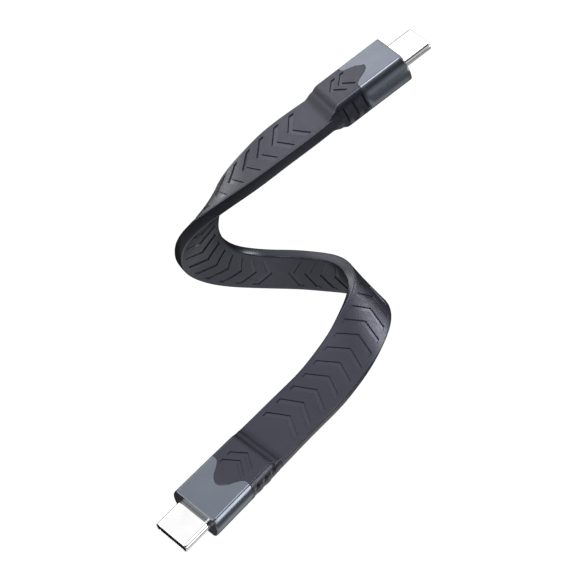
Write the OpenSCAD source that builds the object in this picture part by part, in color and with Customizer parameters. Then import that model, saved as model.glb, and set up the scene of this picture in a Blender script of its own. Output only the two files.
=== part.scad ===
// Short flat charging cable with a USB-C plug at each end.
// A flexible printed circuit runs inside a flat rubber ribbon. Each plug has a nickel shell,
// its contacts and latch, a paddle card in a shield can, an alloy shell and a rubber boot.
// The cable rests on one edge of the ribbon and on a corner of plug a, and turns once on itself.
// Plug pieces are drawn in the plug's own axes: +X outwards along the cable, +Y across it, +Z to
// the patterned top face, with X = 0 where the ribbon enters the boot.

/* [Ribbon] */
// Width of the rubber ribbon
ribbon_width = 11.7; // [11:0.1:12.4]
// Thickness of the rubber ribbon
ribbon_thickness = 2.5; // [2:0.1:3]
// Corner chamfer of the ribbon
ribbon_chamfer = 0.4; // [0.2:0.1:0.6]
// Width of the flexible circuit inside
flex_width = 9.4; // [8:0.2:9.6]
// Thickness of the flexible circuit
flex_thickness = 0.5; // [0.3:0.1:0.6]

/* [Plug body] */
// Length of boot and alloy shell together, behind the front face
body_length = 16.2; // [15.8:0.2:17]
// Thickness of the body
body_thickness = 6.3; // [5.9:0.1:6.6]
// Width of the flat top face
body_flat_width = 9.7; // [9.6:0.1:10.4]
// How far each narrow side bulges beyond the flat
body_bulge = 0.6; // [0.5:0.05:0.8]
// Length of the alloy shell
alloy_length = 10.4; // [10:0.2:10.6]
// Wall of the alloy shell
alloy_wall = 0.5; // [0.4:0.05:0.6]
// Distance from the front face to the tip of the boot's tongue
tongue_gap = 6.3; // [5.8:0.1:7]
// Length of the wave where the boot runs down to the ribbon
wave_length = 3; // [2.6:0.2:3.4]
// Grip grooves on each narrow side of the boot
rib_count = 3; // [2:1:3]

/* [USB-C plug] */
// Width of the plug shell
usb_width = 8.25; // [8.19:0.01:8.31]
// Height of the plug shell
usb_height = 2.4; // [2.36:0.01:2.44]
// Length of the plug shell in front of the body
usb_reach = 6.65; // [6.2:0.05:6.7]
// Sheet of the plug shell
usb_wall = 0.2; // [0.15:0.01:0.25]
// Contacts in each row
contact_count = 12; // [2:2:12]
// Distance between contacts
contact_pitch = 0.5; // [0.5:0.5:0.5]

/* [Paddle card] */
// Width of the paddle card
card_width = 8.6; // [8:0.1:8.8]
// Thickness of the paddle card
card_thickness = 0.8; // [0.6:0.1:0.8]
// Length of the paddle card
card_length = 8; // [7:0.5:8]

/* [Hidden] */
$fn = 64;
eps = 0.01;

// Route of the ribbon's centre line from plug a to plug b, as the guide points of a smooth
// curve: x, y, z, and the roll of the ribbon's width about the route, 0 lying flat and
// -90 standing on its edge.
route = [
    [-25.9, -21.5, 5.3, -25], [-20.9, -17.9, 4.7, -23], [-15.8, -14.8, 4.7, -22], [-10.5, -12, 5, -22],
    [-5, -9, 5, -24], [0, -5.5, 5.5, -28], [4.5, -2, 6, -36], [8.5, 2.5, 6.5, -46],
    [12, 7.5, 6.5, -56], [14, 13, 6.5, -66], [13.5, 19.5, 6, -75], [11, 25, 6, -82],
    [6.5, 29, 6.5, -84], [1.5, 32, 8, -82], [-4, 33.5, 10, -76], [-9, 33.5, 13, -68],
    [-13.5, 32, 17, -57], [-16.5, 29.5, 22, -40], [-17.5, 26.5, 27.5, -17], [-16.5, 23.5, 32.5, 2],
    [-14, 20.5, 37, 9], [-10, 18, 41, 6], [-4.5, 16.5, 44, -1], [1, 16, 46, -7],
    [6.5, 16, 48, -11], [12.5, 16.5, 49.2, -11], [18.5, 17.3, 50.2, -8], [24.4, 18.2, 51.4, -2]];
rings_per_span = 3;
// Moves the route so that the cable stands on z = 0 with its box centred on the origin
seat = [0, -0.4, 0.1];

// Places along a plug, outwards from the ribbon's end
wave_end = wave_length;
body_front = wave_length + body_length;
alloy_rear = body_front - alloy_length;
tongue_tip = body_front - tongue_gap;
usb_tip = body_front + usb_reach;
usb_rear = alloy_rear + 6;
front_wall = 0.8;
card_front = usb_rear - 0.2;
card_rear = card_front - card_length;

// Body section: flats joined by one arc on each narrow side
half_body = body_thickness / 2;
half_flat = body_flat_width / 2;
bulge_radius = (half_body * half_body + body_bulge * body_bulge) / (2 * body_bulge);
bulge_centre = half_flat + body_bulge - bulge_radius;

// Shield can and inner clearances
can_width = card_width + 0.6;
can_height = 3.4;
can_wall = 0.15;
can_rear = card_rear - 0.2;
can_length = card_length;
slot_gap = 0.05;

// Plug interior
slot_half = 0.45;
contact_thick = 0.15;
contact_width = 0.25;
contact_z = card_thickness / 2;
contact_tail = 1.4;
tip_setback = 0.35;
slot_depth = 6;
slot_width = 7.5;
arm_width = 0.27;
arm_setback = 1.2;
plate_thick = 0.2;
spring_thick = 0.1;
spring_width = 5.6;
core_half = usb_height / 2 - usb_wall - spring_thick;

rubber = [0.20, 0.20, 0.23];
rubber_lit = [0.28, 0.28, 0.32];
alloy = [0.44, 0.47, 0.52];
nickel = [0.88, 0.88, 0.90];
gold = [0.83, 0.66, 0.28];
black_plastic = [0.06, 0.06, 0.07];
amber = [0.72, 0.42, 0.12];
board_green = [0.05, 0.30, 0.16];
mould_white = [0.85, 0.84, 0.80];

// ---- Route ----------------------------------------------------------------------------------
spans = len(route) - 3;

// Cubic B-spline through four guide points, and its slope
function blend(f, a, b, c, d) =
    (a * pow(1 - f, 3) + b * (3 * f * f * f - 6 * f * f + 4)
    + c * (-3 * f * f * f + 3 * f * f + 3 * f + 1) + d * f * f * f) / 6;
function slope(f, a, b, c, d) =
    (-a * pow(1 - f, 2) + b * (3 * f * f - 4 * f) + c * (-3 * f * f + 2 * f + 1) + d * f * f) / 2;
function span_of(u) = min(floor(u), spans - 1);
function at(u) = let (k = span_of(u), f = u - k)
    blend(f, route[k], route[k + 1], route[k + 2], route[k + 3]);
function along(u) = let (k = span_of(u), f = u - k)
    slope(f, route[k], route[k + 1], route[k + 2], route[k + 3]);
function unit(v) = v / norm(v);
function xyz(v) = [v.x, v.y, v.z];

// Frame at u: [place, direction, width direction, direction from top face to underside]
function frame_at(u) = let (
        p = at(u),
        l = unit(xyz(along(u))),
        level = unit(cross(l, [0, 0, 1])),
        rise = cross(level, l),
        w = cos(p[3]) * level + sin(p[3]) * rise)
    [xyz(p) + seat, l, w, cross(l, w)];
stations = [for (i = [0 : spans * rings_per_span]) i / rings_per_span];
frames = [for (u = stations) frame_at(u)];
start = frames[0];
finish = frames[len(frames) - 1];
function moved(fr, d) = [fr[0] + fr[1] * d, fr[1], fr[2], fr[3]];

// Eight corners of a chamfered strip of width w and thickness t, about a frame
function strip_corner(w, t, c) = [
    [w / 2 - c, -t / 2], [w / 2, -t / 2 + c], [w / 2, t / 2 - c], [w / 2 - c, t / 2],
    [-w / 2 + c, t / 2], [-w / 2, t / 2 - c], [-w / 2, -t / 2 + c], [-w / 2 + c, -t / 2]];
function ring(fr, outline) = [for (q = outline) fr[0] + fr[2] * q.x + fr[3] * q.y];

// Side walls of a sweep of n-cornered rings, from point number first; flip turns them inside out
function walls(rings, n, first, flip) = [for (i = [0 : rings - 2], j = [0 : n - 1], half = [0, 1])
    let (a = first + i * n + j, b = first + i * n + (j + 1) % n, c = a + n, d = b + n,
        tri = half == 0 ? [a, b, d] : [a, d, c])
    flip ? [tri[2], tri[1], tri[0]] : tri];

module strip(frs, w, t, c) {
    outline = strip_corner(w, t, c);
    n = len(outline);
    points = [for (fr = frs) each ring(fr, outline)];
    last = (len(frs) - 1) * n;
    polyhedron(points, concat(
        walls(len(frs), n, 0, false),
        [[for (j = [n - 1 : -1 : 0]) j], [for (j = [0 : n - 1]) last + j]]));
}

// A strip with a flat hole through it, made as one closed surface
module hollow_strip(frs, w, t, c, hole_w, hole_t, hole_c) {
    outer = strip_corner(w, t, c);
    inner = strip_corner(hole_w, hole_t, hole_c);
    n = len(outer);
    m = len(frs);
    points = concat([for (fr = frs) each ring(fr, outer)], [for (fr = frs) each ring(fr, inner)]);
    hole = m * n;
    last = (m - 1) * n;
    polyhedron(points, concat(
        walls(m, n, 0, false),
        walls(m, n, hole, true),
        [for (j = [0 : n - 1]) let (k = (j + 1) % n) [hole + j, hole + k, k, j]],
        [for (j = [0 : n - 1]) let (k = (j + 1) % n)
            [last + j, last + k, hole + last + k, hole + last + j]]));
}

module ribbon_jacket() {
    color(rubber)
    hollow_strip(frames, ribbon_width, ribbon_thickness, ribbon_chamfer,
        flex_width + 2 * slot_gap, flex_thickness + 2 * slot_gap, 0.1);
}

module flex_circuit() {
    color(amber)
    strip(concat([moved(start, -card_rear + eps)], frames, [moved(finish, card_rear - eps)]),
        flex_width, flex_thickness, 0.05);
}

// ---- Plug placing -----------------------------------------------------------------------------
// Columns are the plug's X, Y and Z axes and its place
function placing(out, across, up, p) = [
    [out.x, across.x, up.x, p.x], [out.y, across.y, up.y, p.y], [out.z, across.z, up.z, p.z],
    [0, 0, 0, 1]];
module at_a() multmatrix(placing(-start[1], start[2], -start[3], start[0])) children();
module at_b() multmatrix(placing(finish[1], -finish[2], -finish[3], finish[0])) children();

// ---- Plug outlines ----------------------------------------------------------------------------
module along_x(from, to) {
    translate([from, 0, 0]) rotate([90, 0, 90]) linear_extrude(to - from) children();
}

module block(from, to, width, z0, z1) {
    translate([from, -width / 2, z0]) cube([to - from, width, z1 - z0]);
}

// Body section drawn in Y and Z, set in by a wall thickness
module body_section(inset = 0) {
    intersection() {
        square([2 * (half_flat + body_bulge), 2 * (half_body - inset)], center = true);
        translate([bulge_centre, 0]) circle(bulge_radius - inset, $fn = 200);
        translate([-bulge_centre, 0]) circle(bulge_radius - inset, $fn = 200);
    }
}

module stadium(width, height) {
    for (side = [-1, 1]) translate([side * (width - height) / 2, 0]) circle(d = height);
    square([width - height, height], center = true);
}

// Tongue of the boot that reaches forward over the alloy shell, seen from above
tongue_radius = 2;
tongue_turn = 62;
ear_width = 0.9;
module tongue_plan() {
    centre = tongue_tip - tongue_radius;
    polygon(concat(
        [[alloy_rear - eps, -half_flat - body_bulge], [alloy_rear, -half_flat + ear_width / 2],
         [alloy_rear + 0.3, -half_flat + ear_width]],
        [for (a = [-tongue_turn : 4 : tongue_turn])
            [centre + tongue_radius * cos(a), tongue_radius * sin(a)]],
        [[alloy_rear + 0.3, half_flat - ear_width], [alloy_rear, half_flat - ear_width / 2],
         [alloy_rear - eps, half_flat + body_bulge]]));
}

// ---- Plug pieces ------------------------------------------------------------------------------
// Wave: side outline of the boot where it runs down to the ribbon
wave_steps = 10;
function wave_height(f) = ribbon_thickness / 2 + (half_body - ribbon_thickness / 2) * (1 - cos(180 * f)) / 2;
module wave_side() {
    up = [for (i = [0 : wave_steps]) [wave_end * i / wave_steps, wave_height(i / wave_steps)]];
    down = [for (i = [wave_steps : -1 : 0]) [wave_end * i / wave_steps, -wave_height(i / wave_steps)]];
    polygon(concat(up, [[wave_end + eps, half_body], [wave_end + eps, -half_body]], down));
}
module wave_plan() {
    polygon([[0, -ribbon_width / 2], [wave_end + eps, -half_flat - body_bulge],
             [wave_end + eps, half_flat + body_bulge], [0, ribbon_width / 2]]);
}

rib_width = 1;
rib_depth = 0.3;
rib_step = 2.4;
rib_height = 3.9;
rib_drop = 0.65;
module rib_cuts() {
    for (i = [0 : rib_count - 1], side = [-1, 1])
        translate([alloy_rear - 1.2 - i * rib_step, side * (half_flat + body_bulge), -rib_drop])
            cube([rib_width, 2 * rib_depth, rib_height], center = true);
}

module boot() {
    color(rubber_lit)
    difference() {
        union() {
            along_x(wave_end, alloy_rear) body_section();
            intersection() {
                rotate([90, 0, 0]) linear_extrude(ribbon_width, center = true) wave_side();
                linear_extrude(body_thickness, center = true) wave_plan();
            }
            intersection() {
                along_x(alloy_rear - eps, body_front) body_section();
                for (z = [half_body - alloy_wall, -half_body])
                    translate([0, 0, z]) linear_extrude(alloy_wall) tongue_plan();
            }
        }
        block(-1, can_rear + eps, flex_width + 2 * slot_gap, -flex_thickness / 2 - slot_gap,
            flex_thickness / 2 + slot_gap);
        block(can_rear, alloy_rear + eps, can_width, -can_height / 2, can_height / 2);
        rib_cuts();
    }
}

module alloy_shell() {
    color(alloy)
    difference() {
        along_x(alloy_rear, body_front) body_section();
        along_x(alloy_rear - 1, body_front - front_wall) body_section(alloy_wall);
        along_x(alloy_rear, body_front + 1) stadium(usb_width, usb_height);
        for (z = [half_body - alloy_wall, -half_body - 1])
            translate([0, 0, z]) linear_extrude(alloy_wall + 1) tongue_plan();
    }
}

module inner_mould() {
    color(mould_white)
    difference() {
        along_x(alloy_rear, body_front - front_wall) body_section(alloy_wall);
        block(alloy_rear - 1, can_rear + can_length, can_width, -can_height / 2, can_height / 2);
        block(alloy_rear, usb_rear, card_width, -usb_height / 2, usb_height / 2);
        along_x(usb_rear - eps, body_front) stadium(usb_width, usb_height);
    }
}

module shield_can() {
    color(nickel)
    difference() {
        block(can_rear, can_rear + can_length, can_width, -can_height / 2, can_height / 2);
        block(can_rear + can_wall, can_rear + can_length - can_wall, can_width - 2 * can_wall,
            -can_height / 2 + can_wall, can_height / 2 - can_wall);
        block(can_rear - 1, can_rear + 1, flex_width + eps, -card_thickness / 2, card_thickness / 2);
        block(can_rear + 1, usb_rear, card_width, -1, 1);
    }
}

module paddle_card() {
    color(board_green)
    block(card_rear, card_front, card_width, -card_thickness / 2, card_thickness / 2);
}

chip_size = 2.5;
chip_height = 0.6;
module emarker_chip() {
    color(black_plastic)
    block(card_rear + 3, card_rear + 3 + chip_size, chip_size, card_thickness / 2,
        card_thickness / 2 + chip_height);
}

module passives() {
    color(gold)
    for (x = [card_rear + 1.2, card_rear + 4.2], y = [-2.8, 2.8])
        translate([x, y, card_thickness / 2 + 0.25]) cube([1, 0.5, 0.5], center = true);
}

module usb_shell() {
    color(nickel)
    difference() {
        along_x(usb_rear, usb_tip) stadium(usb_width, usb_height);
        along_x(usb_rear - 1, usb_tip + 1)
            stadium(usb_width - 2 * usb_wall, usb_height - 2 * usb_wall);
    }
}

function contact_y(i) = (i - (contact_count - 1) / 2) * contact_pitch;

module insulator() {
    color(black_plastic)
    difference() {
        intersection() {
            along_x(usb_rear, usb_tip - tip_setback)
                stadium(usb_width - 2 * usb_wall, usb_height - 2 * usb_wall);
            block(usb_rear, usb_tip, usb_width, -core_half, core_half);
        }
        block(usb_tip - slot_depth, usb_tip, slot_width, -slot_half, slot_half);
        block(usb_rear - 1, usb_tip - slot_depth + eps, slot_width, -plate_thick / 2, plate_thick / 2);
        for (i = [0 : contact_count - 1], side = [-1, 1])
            translate([usb_rear - 1, contact_y(i) - contact_width / 2 - 0.01,
                       side > 0 ? contact_z : -contact_z - contact_thick - 0.01])
                cube([usb_tip - usb_rear + 0.2, contact_width + 0.02, contact_thick + 0.01]);
    }
}

module contact_row(side) {
    color(gold)
    for (i = [0 : contact_count - 1])
        translate([card_front - contact_tail, contact_y(i) - contact_width / 2,
                   side > 0 ? contact_z : -contact_z - contact_thick])
            cube([usb_tip - card_front + contact_tail - 1, contact_width, contact_thick]);
}

module latch_plate() {
    color(nickel) {
        block(usb_rear, usb_tip - slot_depth + 0.3, slot_width - 0.02, -plate_thick / 2,
            plate_thick / 2);
        for (side = [-1, 1])
            translate([usb_tip - slot_depth, side > 0 ? slot_width / 2 - arm_width - 0.01
                       : -slot_width / 2 + 0.01, -slot_half / 2])
                cube([slot_depth - arm_setback, arm_width, slot_half]);
    }
}

module emi_springs() {
    color(nickel)
    for (z = [core_half, -core_half - spring_thick])
        block(usb_rear + 2, usb_tip - 1, spring_width, z, z + spring_thick);
}

ribbon_jacket();
flex_circuit();
at_a() boot();  // boot_a
at_a() alloy_shell();  // alloy_shell_a
at_a() inner_mould();  // inner_mould_a
at_a() shield_can();  // shield_can_a
at_a() paddle_card();  // paddle_card_a
at_a() emarker_chip();  // emarker_chip_a
at_a() passives();  // passives_a
at_a() usb_shell();  // usb_shell_a
at_a() insulator();  // insulator_a
at_a() contact_row(1);  // contacts_upper_a
at_a() contact_row(-1);  // contacts_lower_a
at_a() latch_plate();  // latch_plate_a
at_a() emi_springs();  // emi_springs_a
at_b() boot();  // boot_b
at_b() alloy_shell();  // alloy_shell_b
at_b() inner_mould();  // inner_mould_b
at_b() shield_can();  // shield_can_b
at_b() paddle_card();  // paddle_card_b
at_b() passives();  // passives_b
at_b() usb_shell();  // usb_shell_b
at_b() insulator();  // insulator_b
at_b() contact_row(1);  // contacts_upper_b
at_b() contact_row(-1);  // contacts_lower_b
at_b() latch_plate();  // latch_plate_b
at_b() emi_springs();  // emi_springs_b
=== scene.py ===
"""Looks of the short flat USB-C charging cable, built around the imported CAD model.

The ribbon, the boots, the alloy shells and the plug shells are modelled here in finer detail than
in CAD, in place of their CAD nodes. Plug pieces are drawn in millimetres in the plug's own axes, as
in CAD: +X outwards along the cable, +Y across it, +Z to the patterned top face, and X = 0 where the
ribbon enters the boot.
"""

import math

import bmesh
import bpy
import numpy as np
from mathutils import Matrix, Vector


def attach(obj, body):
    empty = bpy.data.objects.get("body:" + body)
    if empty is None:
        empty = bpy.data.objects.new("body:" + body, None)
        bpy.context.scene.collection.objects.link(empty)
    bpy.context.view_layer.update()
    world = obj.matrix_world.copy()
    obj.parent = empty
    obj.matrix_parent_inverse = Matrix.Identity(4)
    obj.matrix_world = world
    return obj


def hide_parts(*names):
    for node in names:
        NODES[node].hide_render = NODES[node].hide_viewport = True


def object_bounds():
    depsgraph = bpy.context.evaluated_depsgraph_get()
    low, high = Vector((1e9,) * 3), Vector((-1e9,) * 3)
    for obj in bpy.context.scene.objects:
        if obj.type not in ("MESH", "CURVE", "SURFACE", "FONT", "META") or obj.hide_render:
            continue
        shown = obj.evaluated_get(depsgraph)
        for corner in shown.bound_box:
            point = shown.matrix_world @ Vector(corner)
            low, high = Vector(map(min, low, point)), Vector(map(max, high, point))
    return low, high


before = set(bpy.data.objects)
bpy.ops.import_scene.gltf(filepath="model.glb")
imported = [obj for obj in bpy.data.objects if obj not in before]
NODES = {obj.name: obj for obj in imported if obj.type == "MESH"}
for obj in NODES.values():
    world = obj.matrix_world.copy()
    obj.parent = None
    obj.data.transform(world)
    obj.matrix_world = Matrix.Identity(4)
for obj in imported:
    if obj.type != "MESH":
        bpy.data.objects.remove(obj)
cad_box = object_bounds()
MM = 0.001

# ---- Camera -----------------------------------------------------------------------------------
CAMERA_TARGET = (-0.00251, -0.00143, 0.02656)
CAMERA_DISTANCE = 0.21122
CAMERA_ELEVATION = 33.86
CAMERA_ROLL = -24.25
CAMERA_LENS = 64.44


def add_camera():
    """Camera at the viewing angle of the product shot: seen from the front, tilted and rolled."""
    elevation = math.radians(CAMERA_ELEVATION)
    back = Vector((0, -math.cos(elevation), math.sin(elevation)))
    level_right = Vector((1, 0, 0))
    level_up = back.cross(level_right)
    roll = math.radians(CAMERA_ROLL)
    right = level_right * math.cos(roll) + level_up * math.sin(roll)
    up = back.cross(right)
    data = bpy.data.cameras.new("camera")
    data.lens = CAMERA_LENS
    data.sensor_width = 36
    data.clip_start = 0.01
    camera = bpy.data.objects.new("camera", data)
    turn = Matrix((right, up, back)).transposed().to_4x4()
    camera.matrix_world = Matrix.Translation(Vector(CAMERA_TARGET) + back * CAMERA_DISTANCE) @ turn
    bpy.context.scene.collection.objects.link(camera)
    bpy.context.scene.camera = camera


# ---- Route of the ribbon ----------------------------------------------------------------------
# Guide points of the route in CAD: x, y and z in metres, and the roll of the ribbon in degrees
ROUTE = np.array([
    (-0.0259, -0.0215, 0.0053, -25), (-0.0209, -0.0179, 0.0047, -23),
    (-0.0158, -0.0148, 0.0047, -22), (-0.0105, -0.0120, 0.0050, -22),
    (-0.0050, -0.0090, 0.0050, -24), (0.0000, -0.0055, 0.0055, -28),
    (0.0045, -0.0020, 0.0060, -36), (0.0085, 0.0025, 0.0065, -46),
    (0.0120, 0.0075, 0.0065, -56), (0.0140, 0.0130, 0.0065, -66),
    (0.0135, 0.0195, 0.0060, -75), (0.0110, 0.0250, 0.0060, -82),
    (0.0065, 0.0290, 0.0065, -84), (0.0015, 0.0320, 0.0080, -82),
    (-0.0040, 0.0335, 0.0100, -76), (-0.0090, 0.0335, 0.0130, -68),
    (-0.0135, 0.0320, 0.0170, -57), (-0.0165, 0.0295, 0.0220, -40),
    (-0.0175, 0.0265, 0.0275, -17), (-0.0165, 0.0235, 0.0325, 2),
    (-0.0140, 0.0205, 0.0370, 9), (-0.0100, 0.0180, 0.0410, 6),
    (-0.0045, 0.0165, 0.0440, -1), (0.0010, 0.0160, 0.0460, -7),
    (0.0065, 0.0160, 0.0480, -11), (0.0125, 0.0165, 0.0492, -11),
    (0.0185, 0.0173, 0.0502, -8), (0.0244, 0.0182, 0.0514, -2)])
SEAT = np.array((0, -0.0004, 0.0001))
SPANS = len(ROUTE) - 3


def unit(v):
    return v / np.linalg.norm(v, axis=-1, keepdims=True)


def frames_at(u):
    """Places in mm, and directions along, across and from top face to underside, at route places u."""
    u = np.asarray(u, float)
    span = np.clip(np.floor(u).astype(int), 0, SPANS - 1)
    f = (u - span)[..., None]
    a, b, c, d = (ROUTE[span + i] for i in range(4))
    place = (a * (1 - f) ** 3 + b * (3 * f**3 - 6 * f**2 + 4)
             + c * (-3 * f**3 + 3 * f**2 + 3 * f + 1) + d * f**3) / 6
    slope = (-a * (1 - f) ** 2 + b * (3 * f**2 - 4 * f) + c * (-3 * f**2 + 2 * f + 1) + d * f**2) / 2
    along = unit(slope[..., :3])
    level = unit(np.cross(along, (0, 0, 1)))
    rise = np.cross(level, along)
    roll = np.radians(place[..., 3:])
    across = np.cos(roll) * level + np.sin(roll) * rise
    return (place[..., :3] + SEAT) / MM, along, across, np.cross(along, across)


TABLE_STEPS = 2000
table_u = np.linspace(0, SPANS, TABLE_STEPS + 1)
table_place = frames_at(table_u)[0]
table_s = np.concatenate([[0], np.cumsum(np.linalg.norm(np.diff(table_place, axis=0), axis=1))])
RIBBON_LENGTH = table_s[-1]


def ribbon_points(s, y, n):
    """Points in mm at length s along the route, y across it and n from top face to underside."""
    inside = np.clip(s, 0, RIBBON_LENGTH)
    place, along, across, under = frames_at(np.interp(inside, table_s, table_u))
    beyond = (s - inside)[..., None]
    return place + along * beyond + across * y[..., None] + under * n[..., None]


def plug_axes(end):
    """Place in mm and the X, Y and Z axes of plug a or b."""
    place, along, across, under = frames_at(0.0 if end == "a" else float(SPANS))
    side = -1 if end == "a" else 1
    return place, side * along, -side * across, -under


def plug_points(end, x, y, z):
    """Points in mm from a plug's own X, Y and Z; behind the plug's end they follow the ribbon."""
    place, out, across, up = plug_axes(end)
    rigid = place + x[..., None] * out + y[..., None] * across + z[..., None] * up
    if end == "a":
        bent = ribbon_points(-x, y, -z)
    else:
        bent = ribbon_points(RIBBON_LENGTH + x, -y, -z)
    return np.where(x[..., None] < 0, bent, rigid)


# ---- Meshes from rings ------------------------------------------------------------------------
SHARP_ANGLE = math.radians(32)


def tube(name, rings, material, **shares):
    """A closed ring-shaped solid: rings is rings x points x 3 in mm, and the last ring joins the first.
    shares are values from 0 to 1 at each point, which the material reads by name."""
    m, n = rings.shape[:2]
    i, j = np.meshgrid(np.arange(m), np.arange(n), indexing="ij")
    i2, j2 = (i + 1) % m, (j + 1) % n
    quads = np.stack([i * n + j, i * n + j2, i2 * n + j2, i2 * n + j], axis=-1).reshape(-1, 4)
    mesh = bpy.data.meshes.new(name)
    mesh.from_pydata((rings.reshape(-1, 3) * MM).tolist(), [], quads.tolist())
    for share, values in shares.items():
        layer = mesh.attributes.new(share, "FLOAT", "POINT")
        layer.data.foreach_set("value", values.reshape(-1).astype(np.float32))
    work = bmesh.new()
    work.from_mesh(mesh)
    bmesh.ops.recalc_face_normals(work, faces=work.faces)
    work.to_mesh(mesh)
    work.free()
    mesh.polygons.foreach_set("use_smooth", [True] * len(mesh.polygons))
    mesh.set_sharp_from_angle(angle=SHARP_ANGLE)
    mesh.materials.append(material)
    piece = bpy.data.objects.new(name, mesh)
    bpy.context.scene.collection.objects.link(piece)
    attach(piece, "root")
    return piece


def filled(keys, step):
    """The key values, sorted, with even fills so that no gap is wider than step."""
    keys = sorted(set(np.round(keys, 4)))
    parts = [np.linspace(a, b, max(1, math.ceil((b - a) / step - 1e-6)), endpoint=False)
             for a, b in zip(keys, keys[1:])]
    return np.concatenate(parts + [[keys[-1]]])


def band(v, low, high, wall):
    """1 between low and high, 0 outside, changing over a wall."""
    return np.clip((v - low) / wall + 0.5, 0, 1) * np.clip((high - v) / wall + 0.5, 0, 1)


def edges_of(low, high, wall):
    return [low - wall / 2, low + wall / 2, high - wall / 2, high + wall / 2]


# A ring of points round a flat body, in four runs: top flat from -Y to +Y, +Y side down, bottom
# flat back, -Y side up. across holds the places on a flat as shares of it, from -1 to 1, and down
# the places on a side, from 1 at the top to -1 at the bottom.
class Ring:
    def __init__(self, across, down):
        top = np.ones(len(across))
        side = np.ones(len(down))
        self.flat = np.concatenate([across, side, across[::-1], -side])
        self.level = np.concatenate([top, down, -top, down[::-1]])
        self.on_flat = np.concatenate([top, 0 * side, top, 0 * side]).astype(bool)

    def section(self, half_flat, half_height, bulge, corners, drop=0.0):
        """Y and Z of the ring: flats, and on each side one arc that bulges, with rounded corners.
        corners are the radii at the top and at the bottom, and drop is how much further down the
        bottom lies than the top is high."""
        lean = np.abs(self.level)
        corner = np.where(self.level > 0, *corners)
        radius = (half_height**2 + bulge**2) / (2 * bulge)
        z_side = half_height * self.level
        y_side = half_flat + bulge - radius + np.sqrt(np.maximum(radius**2 - z_side**2, 0))
        turn = np.clip((lean - (1 - corner / half_height)) * half_height / corner, 0, 1)
        cut = corner * (1 - np.sqrt(np.maximum(1 - turn**2, 0)))
        y_side = y_side - cut * 0.6
        y = np.where(self.on_flat, self.flat * (half_flat - corner * 0.6), np.sign(self.flat) * y_side)
        z = np.where(self.on_flat, self.level * half_height, z_side)
        return y, z * np.where(z < 0, 1 + drop / half_height, 1)

    def stadium(self, width, height):
        radius = height / 2
        straight = width / 2 - radius
        angle = self.level * math.pi / 2
        y = np.where(self.on_flat, self.flat * straight,
                     np.sign(self.flat) * (straight + radius * np.cos(angle)))
        z = np.where(self.on_flat, self.level * radius, radius * np.sin(angle))
        return y, z


# ---- Materials --------------------------------------------------------------------------------
def new_material(name):
    material = bpy.data.materials.new(name)
    material.use_nodes = True
    nodes = material.node_tree.nodes
    return material, nodes, material.node_tree.links, nodes["Principled BSDF"]


def noise(nodes, links, scale, detail=3.0):
    """Noise in the object's own metres: scale is in waves per metre."""
    place = nodes.new("ShaderNodeTexCoord")
    texture = nodes.new("ShaderNodeTexNoise")
    texture.inputs["Scale"].default_value = scale
    texture.inputs["Detail"].default_value = detail
    links.new(place.outputs["Object"], texture.inputs["Vector"])
    return texture.outputs["Fac"]


def spread(nodes, links, value, low, high, start=0.3, stop=0.7):
    """Maps a noise value to a range."""
    node = nodes.new("ShaderNodeMapRange")
    node.inputs["From Min"].default_value = start
    node.inputs["From Max"].default_value = stop
    node.inputs["To Min"].default_value = low
    node.inputs["To Max"].default_value = high
    links.new(value, node.inputs["Value"])
    return node.outputs["Result"]


def tones(nodes, links, value, first, second):
    """A colour between two, by a value from 0 to 1."""
    ramp = nodes.new("ShaderNodeValToRGB")
    ramp.color_ramp.elements[0].color = (*first, 1)
    ramp.color_ramp.elements[1].color = (*second, 1)
    links.new(value, ramp.inputs["Fac"])
    return ramp.outputs["Color"]


def mixed(nodes, links, share, first, second):
    node = nodes.new("ShaderNodeMix")
    node.data_type = "RGBA"
    links.new(share, node.inputs["Factor"])
    links.new(first, node.inputs["A"])
    links.new(second, node.inputs["B"])
    return node.outputs["Result"]


def bump(nodes, links, shader, height, strength, depth):
    node = nodes.new("ShaderNodeBump")
    node.inputs["Strength"].default_value = strength
    node.inputs["Distance"].default_value = depth
    links.new(height, node.inputs["Height"])
    links.new(node.outputs["Normal"], shader.inputs["Normal"])


def grained(name, dark, light, rough, grain, patch=300, metallic=0.0, bump_strength=0.15,
            bump_depth=0.00002, specular=0.5):
    """A material with patchy colour, uneven roughness and a fine grain."""
    material, nodes, links, shader = new_material(name)
    patches = spread(nodes, links, noise(nodes, links, patch), 0, 1)
    links.new(tones(nodes, links, patches, dark, light), shader.inputs["Base Color"])
    links.new(spread(nodes, links, noise(nodes, links, patch * 3), *rough), shader.inputs["Roughness"])
    bump(nodes, links, shader, noise(nodes, links, grain), bump_strength, bump_depth)
    shader.inputs["Metallic"].default_value = metallic
    shader.inputs["Specular IOR Level"].default_value = specular
    return material


def shaded(material, share, dark):
    """Paints shade into a grained material: darkens it to a tone where the named share is 1."""
    nodes, links = material.node_tree.nodes, material.node_tree.links
    socket = nodes["Principled BSDF"].inputs["Base Color"]
    shade = nodes.new("ShaderNodeRGB")
    shade.outputs["Color"].default_value = (*dark, 1)
    links.new(mixed(nodes, links, share_of(nodes, share), socket.links[0].from_socket,
                    shade.outputs["Color"]), socket)


def share_of(nodes, name):
    node = nodes.new("ShaderNodeAttribute")
    node.attribute_name = name
    return node.outputs["Fac"]


def math_node(nodes, links, operation, first, second, third=None):
    node = nodes.new("ShaderNodeMath")
    node.operation = operation
    for socket, value in zip(node.inputs, (first, second, third)):
        if isinstance(value, (int, float)):
            socket.default_value = value
        elif value is not None:
            links.new(value, socket)
    return node.outputs["Value"]


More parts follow.
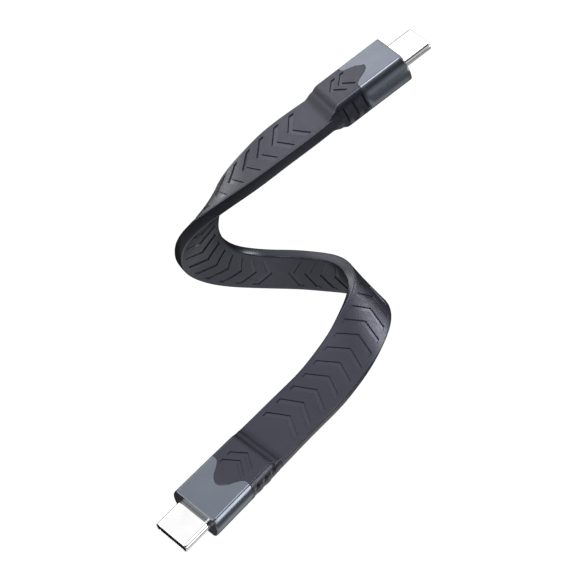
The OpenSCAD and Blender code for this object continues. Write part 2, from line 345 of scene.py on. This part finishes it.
def rubber(name, face, side, sunk, patch=220):
    """Moulded rubber: broad faces with a fine matt grain, smoother narrow sides painted darker as painted
    shade, and the smooth floors of the sunk chevrons painted lighter as a painted highlight. face, side and
    sunk are pairs of tones."""
    material, nodes, links, shader = new_material(name)
    on_face, on_floor = share_of(nodes, "face_share"), share_of(nodes, "sunk_share")
    patches = spread(nodes, links, noise(nodes, links, patch), 0, 1)
    # The narrow sides take the darker side tones: painted shade.
    colour = mixed(nodes, links, on_face, tones(nodes, links, patches, *side),
                   tones(nodes, links, patches, *face))
    # The sunk chevron floors take the lighter sunk tones: a painted highlight, besides their real lower
    # roughness.
    colour = mixed(nodes, links, on_floor, colour, tones(nodes, links, patches, *sunk))
    links.new(colour, shader.inputs["Base Color"])
    rough = math_node(nodes, links, "MULTIPLY_ADD", on_face, 0.09, 0.29)
    rough = math_node(nodes, links, "MULTIPLY_ADD", on_floor, -0.08, rough)
    uneven = spread(nodes, links, noise(nodes, links, 900), -0.04, 0.04)
    links.new(math_node(nodes, links, "ADD", rough, uneven), shader.inputs["Roughness"])
    bump(nodes, links, shader, noise(nodes, links, 7000), 0.12, 0.00002)
    shader.inputs["Specular IOR Level"].default_value = 0.7
    shader.inputs["Specular Tint"].default_value = (0.77, 0.80, 1, 1)
    return material


# Darker tones of the narrow rubber sides: painted shade.
SHADED_SIDE_TONES = ((0.002, 0.002, 0.003), (0.004, 0.004, 0.006))
# The last pair of each rubber is for the sunk chevron floors, lighter than the faces: a painted highlight.
RIBBON_RUBBER = rubber("ribbon_rubber", ((0.005, 0.005, 0.009), (0.008, 0.008, 0.013)), SHADED_SIDE_TONES,
                       ((0.011, 0.011, 0.018), (0.016, 0.016, 0.025)))
BOOT_RUBBER = rubber("boot_rubber", ((0.005, 0.005, 0.008), (0.008, 0.008, 0.012)), SHADED_SIDE_TONES,
                     ((0.007, 0.007, 0.011), (0.010, 0.010, 0.015)))
ALLOY = grained("alloy", (0.137, 0.153, 0.184), (0.155, 0.173, 0.205), (0.18, 0.22), 16000,
                patch=150, metallic=0.95, bump_strength=0.02)
NICKEL = grained("nickel", (0.76, 0.76, 0.77), (0.82, 0.82, 0.82), (0.07, 0.12), 9000,
                 metallic=1.0, bump_strength=0.02)
# The alloy's front face and opening are darkened: painted shade.
shaded(ALLOY, "front_share", (0.03, 0.033, 0.042))
# The inside of the nickel plug shell is darkened: painted shade.
shaded(NICKEL, "inside_share", (0.02, 0.02, 0.02))
GOLD = grained("gold", (0.75, 0.50, 0.18), (0.88, 0.64, 0.28), (0.18, 0.3), 9000, metallic=1.0)
BLACK_PLASTIC = grained("black_plastic", (0.012, 0.012, 0.013), (0.022, 0.022, 0.024), (0.4, 0.55), 8000)
LATCH_STEEL = grained("latch_steel", (0.45, 0.45, 0.46), (0.60, 0.60, 0.61), (0.25, 0.38), 9000,
                      metallic=1.0)
FLEX_FILM = grained("flex_film", (0.42, 0.16, 0.02), (0.56, 0.24, 0.04), (0.25, 0.4), 5000)
BOARD = grained("board", (0.006, 0.07, 0.03), (0.012, 0.12, 0.05), (0.3, 0.45), 6000)
CHIP = grained("chip", (0.015, 0.015, 0.016), (0.028, 0.028, 0.03), (0.45, 0.6), 9000)
SOLDER_PARTS = grained("solder_parts", (0.34, 0.28, 0.20), (0.62, 0.60, 0.56), (0.3, 0.5), 7000,
                       patch=1500, metallic=0.4)
SHIELD_TIN = grained("shield_tin", (0.62, 0.62, 0.60), (0.74, 0.74, 0.72), (0.28, 0.42), 7000,
                     metallic=1.0)
INNER_MOULD = grained("inner_mould", (0.66, 0.65, 0.60), (0.76, 0.75, 0.70), (0.45, 0.6), 5000)
CAD_MATERIALS = {
    "inner_mould": INNER_MOULD, "shield_can": SHIELD_TIN, "paddle_card": BOARD,
    "emarker_chip": CHIP, "passives": SOLDER_PARTS, "insulator": BLACK_PLASTIC,
    "contacts_upper": GOLD, "contacts_lower": GOLD, "latch_plate": LATCH_STEEL,
    "emi_springs": LATCH_STEEL, "flex_circuit": FLEX_FILM}

# ---- Ribbon -----------------------------------------------------------------------------------
RIBBON_HALF_WIDTH = 5.85
RIBBON_HALF_THICKNESS = 1.25
RIBBON_BULGE = 0.12
RIBBON_CORNER = 0.32
RIBBON_CORNERS = (RIBBON_CORNER, RIBBON_CORNER)
FLEX_HALF_WIDTH = 4.75
FLEX_HALF_THICKNESS = 0.3
# Tips of the chevrons, counted from each plug's end of the ribbon: the first and the step
CHEVRONS = {"a": (9.1, 4.08), "b": (7.97, 4.02)}
CHEVRON_COUNT = 17
CHEVRON_STROKE = 1.22
CHEVRON_SLOPE = 0.577
CHEVRON_LEAN_RUN = 5
CHEVRON_REACH = 4.36
CHEVRON_DEPTH = 0.25
CHEVRON_WALL = 0.09
RIBBON_TUCK = 0.1


def chevron_tips(end):
    first, step = CHEVRONS[end]
    return [first + step * k for k in range(CHEVRON_COUNT)]


def ribbon_half(end, length, y):
    """One half of the ribbon, from its plug's end to the cable's middle: distance from that end and
    chevron share at each grid point. The grid lines lean with the chevrons, so their walls are crisp."""
    tips = chevron_tips(end)
    keys = [-RIBBON_TUCK, 0, length]
    for tip in tips:
        keys += edges_of(tip - CHEVRON_STROKE, tip, CHEVRON_WALL)
    near = filled(keys, 0.72)[:, None]
    gap = length - tips[-1] - CHEVRON_WALL / 2
    lean = CHEVRON_SLOPE * np.clip(near / CHEVRON_LEAN_RUN, 0, 1) * np.clip((length - near) / gap, 0, 1)
    sunk = sum(band(near, tip - CHEVRON_STROKE, tip, CHEVRON_WALL) for tip in tips)
    return near - lean * np.abs(y), sunk * band(np.abs(y), -1, CHEVRON_REACH, CHEVRON_WALL)


def build_ribbon():
    """Rubber ribbon with chevrons sunk into both faces, all pointing to the cable's middle."""
    reach = edges_of(-CHEVRON_REACH, CHEVRON_REACH, CHEVRON_WALL)
    limit = RIBBON_HALF_WIDTH - RIBBON_BULGE - RIBBON_CORNER * 0.6
    across = filled([-limit, *reach, 0, limit], 0.75) / limit
    corner = np.array([0.01, 0.04, 0.09, 0.16, 0.26])
    down = np.concatenate([1 - corner, [0.5, 0.2, -0.2, -0.5], corner[::-1] - 1])
    ring = Ring(across, down)
    y, n = ring.section(RIBBON_HALF_WIDTH - RIBBON_BULGE, RIBBON_HALF_THICKNESS, RIBBON_BULGE,
                        RIBBON_CORNERS)
    middle = (chevron_tips("a")[-1] + RIBBON_LENGTH - chevron_tips("b")[-1]) / 2
    s_a, sunk_a = ribbon_half("a", middle, y)
    s_b, sunk_b = ribbon_half("b", RIBBON_LENGTH - middle, y)
    s = np.concatenate([s_a, RIBBON_LENGTH - s_b[-2::-1]])
    sunk = np.concatenate([sunk_a, sunk_b[-2::-1]]) * ring.on_flat
    outer = ribbon_points(s, np.broadcast_to(y, s.shape), n - np.sign(n) * CHEVRON_DEPTH * sunk)
    inner_y = np.clip(y, -FLEX_HALF_WIDTH, FLEX_HALF_WIDTH)
    inner_n = np.clip(n, -FLEX_HALF_THICKNESS, FLEX_HALF_THICKNESS)
    inner_s = np.linspace(RIBBON_LENGTH + RIBBON_TUCK, -RIBBON_TUCK, 160)[:, None] + 0 * y
    inner = ribbon_points(inner_s, np.broadcast_to(inner_y, inner_s.shape),
                          np.broadcast_to(inner_n, inner_s.shape))
    # face marks the broad faces; off them the rubber paints the narrow sides darker as painted shade.
    face = np.broadcast_to(ring.on_flat, (len(outer) + len(inner), len(y)))
    # floor marks the sunk chevron floors, which the rubber paints lighter as a painted highlight.
    floor = np.concatenate([sunk, 0 * inner_s])
    piece = tube("ribbon", np.concatenate([outer, inner]), RIBBON_RUBBER, face_share=face,
                 sunk_share=floor)
    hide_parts("ribbon_jacket")
    return piece


# ---- Plug body --------------------------------------------------------------------------------
HALF_BODY = 3.15
HALF_FLAT = 4.85
BODY_BULGE = 1.1
BODY_CORNERS = (0.3, 0.5)
BODY_DROP = 0.25
CORNER_ON_FLAT = 0.6
FLAT_LIMIT = HALF_FLAT - BODY_CORNERS[0] * CORNER_ON_FLAT
BOOT_REAR = -1.4
BOOT_TOP = 3.0
# How far the boot's end, beside the ribbon, is wider on the flat and how much it still bulges
BOOT_END_WIDER = 0.72
BOOT_END_BULGE = 0.16
BOOT_PATTERN_START = 3.2
BOOT_LEDGE = 0.1
SIDE_SEAM = 8.75
ALLOY_WALL = 0.5
CAN_REAR = 6.6
CAN_HALF_WIDTH = 4.6
CAN_HALF_HEIGHT = 1.7
BOOT_CHEVRONS = (4.25, 6.5)
BOOT_STROKE = 0.95
BOOT_SLOPE = 0.69
BOOT_REACH = 2.9
BOOT_WALL = 0.08
BOOT_CHEVRON_DEPTH = 0.22
GROOVES = (7.6, 5.2, 2.8)
GROOVE_WIDTH = 1.3
GROOVE_BOTTOM, GROOVE_TOP = -2.8, 1.8
GROOVE_DEPTH = 0.6
GROOVE_WALL = 0.18
GROOVE_RUNOUT = 1.6
SEAM_DIP = 0.07
SEAM_RUN = 0.07
SEAM_GAP = 0.02
# Half of the seam between boot and alloy, on the flats: places across and along the plug
SEAM_ACROSS = (0, 0.5, 1.0, 1.5, 1.9, 2.55, 3.3, 3.75, 4.1, 4.4, 4.67, 4.85)
SEAM_ALONG = (12.9, 12.82, 12.55, 12.1, 11.65, 10.5, 9.35, 8.93, 8.78, 8.72, 8.74, 8.75)
# Side outline of the wave at the boot's end: places along the plug and half heights
WAVE_ALONG = (-1.4, -0.9, -0.4, 0.1, 0.6, 1.0, 1.4, 1.8, 2.2, 2.6, 3.0, 3.3)
WAVE_HALF = (1.275, 1.31, 1.41, 1.60, 1.90, 2.14, 2.27, 2.42, 2.72, 2.98, 3.12, 3.15)


def smooth_curve(x, xs, ys):
    """A smooth curve through points: cubic pieces with even slopes at the points."""
    xs, ys = np.array(xs, float), np.array(ys, float)
    slope = np.gradient(ys, xs)
    k = np.clip(np.searchsorted(xs, x, side="right") - 1, 0, len(xs) - 2)
    h = xs[k + 1] - xs[k]
    f = np.clip((x - xs[k]) / h, 0, 1)
    return ((2 * f**3 - 3 * f**2 + 1) * ys[k] + (f**3 - 2 * f**2 + f) * h * slope[k]
            + (-2 * f**3 + 3 * f**2) * ys[k + 1] + (f**3 - f**2) * h * slope[k + 1])


def seam_at(y):
    return smooth_curve(np.abs(y), SEAM_ACROSS, SEAM_ALONG)


def body_ring():
    keys = [0, BOOT_REACH - BOOT_WALL / 2, BOOT_REACH + BOOT_WALL / 2, FLAT_LIMIT]
    across = filled([-k for k in keys] + keys, 0.2) / FLAT_LIMIT
    groove = (GROOVE_BOTTOM, GROOVE_BOTTOM + GROOVE_RUNOUT, GROOVE_TOP - GROOVE_WALL, GROOVE_TOP)
    top = HALF_BODY * (1 - np.array([0.002, 0.01, 0.02, 0.033, 0.052, 0.08]))
    bottom = HALF_BODY * (1 - np.array([0.003, 0.012, 0.027, 0.05, 0.08, 0.12, 0.17, 0.22, 0.28, 0.35]))
    down = filled([*-bottom, *groove, *top], 0.3)[::-1] / HALF_BODY
    return Ring(across, down)


def boot_stations():
    keys = [BOOT_REAR, 0, BOOT_TOP, 3.5, SIDE_SEAM - 0.12, SIDE_SEAM - 0.05, SIDE_SEAM]
    for tip in BOOT_CHEVRONS:
        keys += edges_of(tip - BOOT_STROKE / 2, tip + BOOT_STROKE / 2, BOOT_WALL)
    for middle in GROOVES:
        keys += edges_of(middle - GROOVE_WIDTH / 2, middle + GROOVE_WIDTH / 2, GROOVE_WALL)
    return filled(keys, 0.14)


def boot_shape(ring):
    """X, Y and Z of the boot's outside. On the flats its grid lines follow the chevrons and then
    the seam."""
    v = boot_stations()[:, None]
    half = smooth_curve(np.clip(v, WAVE_ALONG[0], WAVE_ALONG[-1]), WAVE_ALONG, WAVE_HALF)
    widen = np.clip(1 - v / BOOT_TOP, 0, 1)
    rows = [ring.section(HALF_FLAT + BOOT_END_WIDER * w, h,
                         BODY_BULGE * (1 - w) + BOOT_END_BULGE * w,
                         (BODY_CORNERS[0], BODY_CORNERS[1] * (1 - w) + RIBBON_CORNER * w),
                         BODY_DROP * (1 - w))
            for w, h in zip(widen[:, 0], half[:, 0])]
    y = np.array([r[0] for r in rows])
    z = np.array([r[1] for r in rows])
    flat_y = np.abs(ring.flat * HALF_FLAT)
    last_chevron = BOOT_CHEVRONS[-1] + BOOT_STROKE / 2 + BOOT_WALL
    lean = np.where(flat_y < BOOT_REACH + BOOT_WALL, BOOT_SLOPE * flat_y,
                    BOOT_SLOPE * BOOT_REACH * (HALF_FLAT - flat_y) / (HALF_FLAT - BOOT_REACH))
    first_chevron = BOOT_CHEVRONS[0] - BOOT_STROKE / 2 - BOOT_WALL
    ramp = np.clip((v - BOOT_PATTERN_START) / (first_chevron - BOOT_PATTERN_START), 0, 1)
    sheared = v + ramp * lean
    run = np.clip((v - last_chevron) / (SIDE_SEAM - last_chevron), 0, 1)
    to_seam = (last_chevron + lean) * (1 - run) + seam_at(flat_y) * run
    x = np.where(ring.on_flat, np.where(v > last_chevron, to_seam, sheared), v + 0 * y)
    chevrons = sum(band(v, tip - BOOT_STROKE / 2, tip + BOOT_STROKE / 2, BOOT_WALL)
                   for tip in BOOT_CHEVRONS) * band(np.abs(ring.flat * FLAT_LIMIT), -1, BOOT_REACH,
                                                    BOOT_WALL)
    height = ring.level * HALF_BODY
    groove_ends = (np.clip((height - GROOVE_BOTTOM) / GROOVE_RUNOUT, 0, 1)
                   * np.clip((GROOVE_TOP - height) / GROOVE_WALL, 0, 1))
    grooves = sum(band(v, middle - GROOVE_WIDTH / 2, middle + GROOVE_WIDTH / 2, GROOVE_WALL)
                  for middle in GROOVES) * groove_ends
    dip = SEAM_DIP * np.clip((v - SIDE_SEAM + SEAM_RUN) / SEAM_RUN, 0, 1)
    z = z - np.sign(z) * ring.on_flat * (BOOT_CHEVRON_DEPTH * chevrons + dip)
    y = y - np.sign(y) * ~ring.on_flat * (GROOVE_DEPTH * grooves + dip)
    # floor marks the sunk chevron floors, which the rubber paints lighter as a painted highlight.
    floor = np.where(ring.on_flat, chevrons, 0 * grooves)
    return x, y, z, floor


def inset_section(ring, inset):
    """Body section set in by a wall, as Y and Z."""
    return ring.section(HALF_FLAT, HALF_BODY - inset, BODY_BULGE - inset * 0.6, BODY_CORNERS)


def boxed(y, z, half_width, half_height):
    return np.clip(y, -half_width, half_width), np.clip(z, -half_height, half_height)


def build_boot(end):
    """Rubber boot: wave down to the ribbon, chevrons on both flats, grooves in both sides and a
    tongue over the alloy, hollow for the ribbon's end and the shield can."""
    ring = body_ring()
    x, y, z, floor = boot_shape(ring)
    last = x[-1]
    under_y, under_z = inset_section(ring, ALLOY_WALL)
    rows = [(x[k], y[k], z[k]) for k in range(len(x))]
    rows.append((last, under_y, under_z))
    rows.append((np.minimum(last, SIDE_SEAM - BOOT_LEDGE), under_y, under_z))
    can = boxed(under_y, under_z, CAN_HALF_WIDTH, CAN_HALF_HEIGHT)
    slot = boxed(under_y, under_z, FLEX_HALF_WIDTH, FLEX_HALF_THICKNESS)
    pocket = boxed(y[0], z[0], RIBBON_HALF_WIDTH, RIBBON_HALF_THICKNESS)
    flat = np.zeros_like(last)
    for place, shape in ((SIDE_SEAM - BOOT_LEDGE, can), (CAN_REAR, can), (CAN_REAR, slot),
                         (RIBBON_TUCK, slot), (RIBBON_TUCK, pocket), (BOOT_REAR, pocket)):
        rows.append((flat + place, *shape))
    points = plug_points(end, *(np.array([r[i] for r in rows]) for i in range(3)))
    # face marks the broad faces; off them the rubber paints the narrow sides darker as painted shade.
    face = np.broadcast_to(ring.on_flat, points.shape[:2])
    # sunk carries the chevron floors, which the rubber paints lighter as a painted highlight.
    sunk = np.zeros(points.shape[:2])
    sunk[:len(floor)] = floor
    piece = tube("boot_" + end + "_rubber", points, BOOT_RUBBER, face_share=face, sunk_share=sunk)
    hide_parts("boot_" + end)
    return piece


FRONT = 19.2
FRONT_WALL = 0.8
FRONT_BEVEL = 0.3
FRONT_NARROWING = 0.4
OPENING_CHAMFER = 0.08
USB_WIDTH = 8.25
USB_HEIGHT = 2.4
USB_WALL = 0.2
USB_REAR = 14.8
USB_TIP = 25.85
USB_CLEARANCE = 0.06
USB_LIP = 0.25
USB_LIP_BACK = 0.15


def build_alloy(end):
    """Alloy shell: a sleeve from the seam to a bevelled front with an opening for the plug shell."""
    ring = body_ring()
    flat_y = np.abs(ring.flat * HALF_FLAT)
    seam = np.where(ring.on_flat, seam_at(flat_y), SIDE_SEAM) + SEAM_GAP
    y, z = ring.section(HALF_FLAT, HALF_BODY, BODY_BULGE, BODY_CORNERS, BODY_DROP)
    rows = []
    front = []

    # cut is the share of painted shade: 1 on the front face and in the opening.
    def add(x, y, z, cut=0.0):
        rows.append((x + 0 * y, y, z))
        front.append(cut + 0 * y)

    def shrunk(inset):
        return ring.section(HALF_FLAT - inset * FRONT_NARROWING, HALF_BODY - inset, BODY_BULGE, BODY_CORNERS,
                            BODY_DROP)

    add(seam, *shrunk(SEAM_DIP))
    add(seam + SEAM_RUN, y, z)
    for share in np.linspace(0.1, 1, 12):
        add(seam + SEAM_RUN + (FRONT - FRONT_BEVEL - seam - SEAM_RUN) * share, y, z)
    for turn in np.radians((22.5, 45, 67.5, 90)):
        add(FRONT - FRONT_BEVEL * (1 - math.sin(turn)), *shrunk(FRONT_BEVEL * (1 - math.cos(turn))))
    opening = ring.stadium(USB_WIDTH + 2 * USB_CLEARANCE, USB_HEIGHT + 2 * USB_CLEARANCE)
    rim = ring.stadium(USB_WIDTH + 2 * USB_CLEARANCE + 2 * OPENING_CHAMFER,
                       USB_HEIGHT + 2 * USB_CLEARANCE + 2 * OPENING_CHAMFER)
    add(FRONT, *shrunk(FRONT_BEVEL + 0.05), 1.0)
    add(FRONT, *rim, 1.0)
    add(FRONT - OPENING_CHAMFER, *opening, 1.0)
    add(FRONT - FRONT_WALL, *opening, 1.0)
    inside = inset_section(ring, ALLOY_WALL)
    add(FRONT - FRONT_WALL, *inside)
    add(seam + 0.5, *inside)
    add(seam, *inside)
    points = plug_points(end, *(np.array([r[i] for r in rows]) for i in range(3)))
    piece = tube("alloy_" + end, points, ALLOY, front_share=np.array(front))
    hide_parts("alloy_shell_" + end)
    return piece


def build_usb_shell(end):
    """Nickel plug shell: a drawn tube with a rounded lip."""
    ring = Ring(np.linspace(-1, 1, 25), np.cos(np.linspace(0, math.pi, 26)[1:-1]))
    lip = USB_WALL / 2
    rows = []
    inside = []

    # within is the share of painted shade: 1 on the inside of the shell.
    def add(x, thinner, within=0.0):
        y, z = ring.stadium(USB_WIDTH - 2 * thinner, USB_HEIGHT - 2 * thinner)
        rows.append((x + 0 * y, y, z))
        inside.append(within + 0 * y)

    add(USB_REAR, 0)
    for share in np.linspace(0.1, 1, 10):
        add(USB_REAR + (USB_TIP - USB_LIP - USB_REAR) * share, 0)
    for turn in np.radians(np.linspace(15, 90, 6)):
        add(USB_TIP - USB_LIP + USB_LIP * math.sin(turn), lip * (1 - math.cos(turn)))
    for turn in np.radians(np.linspace(70, 0, 4)):
        add(USB_TIP - lip + lip * math.sin(turn), USB_WALL - lip * (1 - math.cos(turn)))
    add(USB_TIP - USB_LIP_BACK, USB_WALL, 1.0)
    add(USB_REAR, USB_WALL, 1.0)
    points = plug_points(end, *(np.array([r[i] for r in rows]) for i in range(3)))
    piece = tube("plug_shell_" + end, points, NICKEL, inside_share=np.array(inside))
    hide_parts("usb_shell_" + end)
    return piece


def dress_cad_nodes():
    """Materials of the CAD nodes that are shown as they are."""
    for name, node in NODES.items():
        material = CAD_MATERIALS.get(name.removesuffix("_a").removesuffix("_b"))
        if material:
            node.data.materials.clear()
            node.data.materials.append(material)


# ---- Stage ------------------------------------------------------------------------------------
def area_light(name, place, aim, size, size_y, power):
    data = bpy.data.lights.new(name, "AREA")
    data.shape = "RECTANGLE"
    data.size = size
    data.size_y = size_y
    data.energy = power
    light = bpy.data.objects.new(name, data)
    light.location = place
    light.rotation_euler = (Vector(aim) - Vector(place)).to_track_quat("-Z", "Y").to_euler()
    bpy.context.scene.collection.objects.link(light)


# The studio round the object: brightness by height, from straight below to straight above
STUDIO_LEFT = ((-1.0, 0.4), (-0.97, 0.6), (-0.92, 1.0), (-0.84, 1.25), (-0.78, 0.8), (-0.66, 0.42),
               (-0.40, 0.25), (0.0, 0.10), (0.30, 0.35), (0.60, 1.05), (1.0, 1.25))
STUDIO_RIGHT = ((-1.0, 0.5), (-0.97, 1.0), (-0.93, 0.8), (-0.88, 0.3), (-0.84, 0.25), (-0.76, 0.3),
                (-0.68, 0.22), (-0.55, 0.3), (-0.40, 0.65), (-0.28, 0.8), (-0.12, 0.5), (0.05, 0.1),
                (0.21, 0.04), (0.35, 0.2), (0.60, 0.85), (0.75, 1.2), (1.0, 1.25))
STUDIO_BACK = ((-1.0, 0.1), (-0.90, 0.1), (-0.80, 0.03), (-0.10, 0.03), (0.10, 0.08), (0.30, 0.3),
               (0.60, 1.05), (1.0, 1.25))
# Where the lights aim, and half of the floor's side, in metres
LIGHTS_AIM = (0, 0, 0.03)
FLOOR_HALF = 30
# Softboxes a metre from the object: name, direction, width and height in metres, power in watts
SOFTBOXES = (("softbox_top", (-0.05, 0.64, 0.77), (0.6, 0.5), 0.8),
             ("softbox_right", (0.91, 0.31, 0.26), (0.33, 0.35), 3.2),
             ("softbox_back", (-0.33, 0.92, 0.22), (0.5, 0.25), 0.9),
             ("softbox_left", (-0.80, -0.30, 0.55), (0.6, 0.6), 2.5),
             ("strip_low_right", (0.69, -0.52, -0.50), (0.3, 0.3), 1.2),
             ("edge_light_front", (0.05, -0.60, 0.80), (0.6, 0.5), 4.0),
             ("edge_light_right", (0.78, -0.55, 0.27), (0.3, 0.3), 1.6))


def ramp_of(nodes, links, value, levels):
    """Grey levels by a value from -1 to 1."""
    share = nodes.new("ShaderNodeMapRange")
    share.inputs["From Min"].default_value = -1
    links.new(value, share.inputs["Value"])
    ramp = nodes.new("ShaderNodeValToRGB")
    stops = ramp.color_ramp.elements
    while len(stops) < len(levels):
        stops.new(0.5)
    for stop, (place, level) in zip(stops, levels):
        stop.position = (place + 1) / 2
        stop.color = (level, level, level, 1)
    links.new(share.outputs["Result"], ramp.inputs["Fac"])
    return ramp.outputs["Color"]


def add_studio():
    """Soft surroundings: bright above and dark at the sides, with one ramp on the left, one on the
    right with a low band of light, and a dark one at the back."""
    world = bpy.data.worlds.new("studio")
    world.use_nodes = True
    nodes, links = world.node_tree.nodes, world.node_tree.links
    direction = nodes.new("ShaderNodeTexCoord")
    split = nodes.new("ShaderNodeSeparateXYZ")
    links.new(direction.outputs["Generated"], split.inputs["Vector"])
    to_right = spread(nodes, links, split.outputs["X"], 0, 1, -0.05, 0.4)
    height = split.outputs["Z"]
    colour = mixed(nodes, links, to_right, ramp_of(nodes, links, height, STUDIO_LEFT),
                   ramp_of(nodes, links, height, STUDIO_RIGHT))
    to_back = spread(nodes, links, split.outputs["Y"], 0, 1, 0.25, 0.45)
    colour = mixed(nodes, links, to_back, colour, ramp_of(nodes, links, height, STUDIO_BACK))
    links.new(colour, nodes["Background"].inputs["Color"])
    bpy.context.scene.world = world


def set_stage():
    """Plain pale floor and soft studio light, bright above and dark at the sides. The floor is lit by
    itself and neither shades nor lights the object."""
    low = cad_box[0]
    material, nodes, links, shader = new_material("floor_white")
    patches = spread(nodes, links, noise(nodes, links, 3), 0, 1)
    links.new(tones(nodes, links, patches, (0.99, 0.99, 0.99), (1, 1, 1)),
              shader.inputs["Emission Color"])
    shader.inputs["Emission Strength"].default_value = 1.0
    shader.inputs["Base Color"].default_value = (0.02, 0.02, 0.02, 1)
    shader.inputs["Roughness"].default_value = 1.0
    mesh = bpy.data.meshes.new("floor")
    corners = ((-1, -1), (1, -1), (1, 1), (-1, 1))
    mesh.from_pydata([(x * FLOOR_HALF, y * FLOOR_HALF, low.z) for x, y in corners], [], [(0, 1, 2, 3)])
    mesh.materials.append(material)
    floor = bpy.data.objects.new("floor", mesh)
    floor.visible_diffuse = False
    floor.visible_glossy = False
    floor.visible_shadow = False
    bpy.context.scene.collection.objects.link(floor)
    add_studio()
    middle = Vector(LIGHTS_AIM)
    for name, way, size, power in SOFTBOXES:
        area_light(name, middle + Vector(way).normalized(), middle, *size, power)
    bpy.context.scene.view_settings.view_transform = "Standard"


# ---- Scene ------------------------------------------------------------------------------------
add_camera()
ribbon = build_ribbon()
plugs = {end: [build_boot(end), build_alloy(end), build_usb_shell(end)] for end in "ab"}
dress_cad_nodes()
set_stage()
